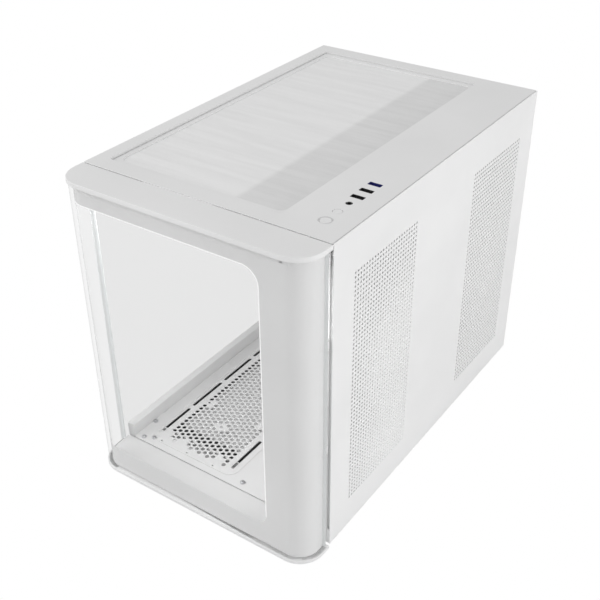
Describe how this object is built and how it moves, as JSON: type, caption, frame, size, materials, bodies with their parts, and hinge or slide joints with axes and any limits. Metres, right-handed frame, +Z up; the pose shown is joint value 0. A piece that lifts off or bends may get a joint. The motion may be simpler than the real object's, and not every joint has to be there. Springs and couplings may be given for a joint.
{
  "type": "desktop computer case",
  "caption": "Dual-chamber desktop tower case with a curved glass front, glass left side, perforated steel right side and a dust filter in the top.",
  "frame": {"origin": "on the ground, at the middle of the case's outer box", "axes": "+X to the right seen from the front, which is the perforated side, front faces -Y, +Z up"},
  "size_m": [0.285, 0.456, 0.362],
  "materials": {
    "white_steel": "fine satin powder coat",
    "white_plastic": "smooth satin moulding",
    "ring_plastic": "translucent",
    "filter_mesh": "woven nylon mesh",
    "clear_glass": "clear tempered glass with a white printed border",
    "plain_steel": "zinc plated",
    "white_cover_steel": "fine satin powder coat",
    "brass": "turned",
    "black_rubber": "matt",
    "grey_plastic": "textured moulding",
    "board": "solder mask",
    "black_plastic": "moulded",
    "blue_plastic": "moulded"
  },
  "bodies": {
    "chassis": {"chassis_floor": "white_steel", "floor_rail_left": "white_steel", "floor_rail_right": "white_steel", "rear_panel": "white_steel", "motherboard_tray": "white_steel", "bay_partition": "white_steel", "side_fan_bracket": "white_steel", "front_post": "white_steel", "rear_post": "white_steel", "top_frame": "white_steel", "top_panel": "white_steel", "drive_cage": "white_steel", "ssd_bracket": "white_steel", "filter_guides": "white_steel", "foot_front_left": "white_plastic", "foot_front_right": "white_plastic", "foot_rear_left": "white_plastic", "foot_rear_right": "white_plastic", "power_ring": "ring_plastic", "slot_screws": "plain_steel", "slot_cover_1": "white_cover_steel", "slot_cover_2": "white_cover_steel", "slot_cover_3": "white_cover_steel", "slot_cover_4": "white_cover_steel", "standoffs": "brass", "stud_sockets": "black_rubber", "cable_grommet_1": "black_rubber", "cable_grommet_2": "black_rubber", "cable_grommet_3": "black_rubber", "psu_pads": "black_rubber", "foot_pads": "black_rubber", "io_holder": "grey_plastic", "io_board": "board", "power_switch": "black_plastic", "reset_switch": "black_plastic", "audio_jack": "black_plastic", "usb_port_1": "black_plastic", "usb_port_2": "black_plastic", "usb_port_3": "blue_plastic"},
    "front_module": {"front_top_plate": "white_plastic", "front_bottom_plate": "white_plastic", "front_glass": "clear_glass", "front_clips": "white_plastic"},
    "left_panel": {"left_glass": "clear_glass", "left_glass_strip_upper": "plain_steel", "left_glass_strip_lower": "plain_steel", "left_glass_studs": "plain_steel"},
    "right_panel": {"right_side_panel": "white_steel", "right_panel_studs": "plain_steel"},
    "top_filter": {"top_filter_frame": "white_plastic", "top_filter_mesh": "filter_mesh"},
    "bottom_filter": {"bottom_filter_frame": "black_plastic", "bottom_filter_mesh": "filter_mesh"},
    "power_key": {"power_button": "white_plastic"},
    "reset_key": {"reset_button": "white_plastic"},
    "drive_tray_front": {"drive_tray_1": "grey_plastic"},
    "drive_tray_back": {"drive_tray_2": "grey_plastic"}
  },
  "joints": [
    {"name": "front_module_off", "type": "slide", "parent": "chassis", "child": "front_module", "axis": [0, -1, 0], "range_m": [0, 0.12]},
    {"name": "left_panel_off", "type": "slide", "parent": "chassis", "child": "left_panel", "axis": [-1, 0, 0], "range_m": [0, 0.15]},
    {"name": "right_panel_off", "type": "slide", "parent": "chassis", "child": "right_panel", "axis": [1, 0, 0], "range_m": [0, 0.15]},
    {"name": "top_filter_lift", "type": "slide", "parent": "chassis", "child": "top_filter", "axis": [0, 0, 1], "range_m": [0, 0.1]},
    {"name": "bottom_filter_out", "type": "slide", "parent": "chassis", "child": "bottom_filter", "axis": [-1, 0, 0], "range_m": [0, 0.13]},
    {"name": "power_press", "type": "slide", "parent": "chassis", "child": "power_key", "axis": [0, 0, -1], "range_m": [0, 0.0012], "stiffness_N_per_m": 800, "springref_m": -0.001},
    {"name": "reset_press", "type": "slide", "parent": "chassis", "child": "reset_key", "axis": [0, 0, -1], "range_m": [0, 0.0012], "stiffness_N_per_m": 800, "springref_m": -0.001},
    {"name": "drive_tray_1_lift", "type": "slide", "parent": "chassis", "child": "drive_tray_front", "axis": [0, 0, 1], "range_m": [0, 0.1]},
    {"name": "drive_tray_2_lift", "type": "slide", "parent": "chassis", "child": "drive_tray_back", "axis": [0, 0, 1], "range_m": [0, 0.1]}
  ]
}
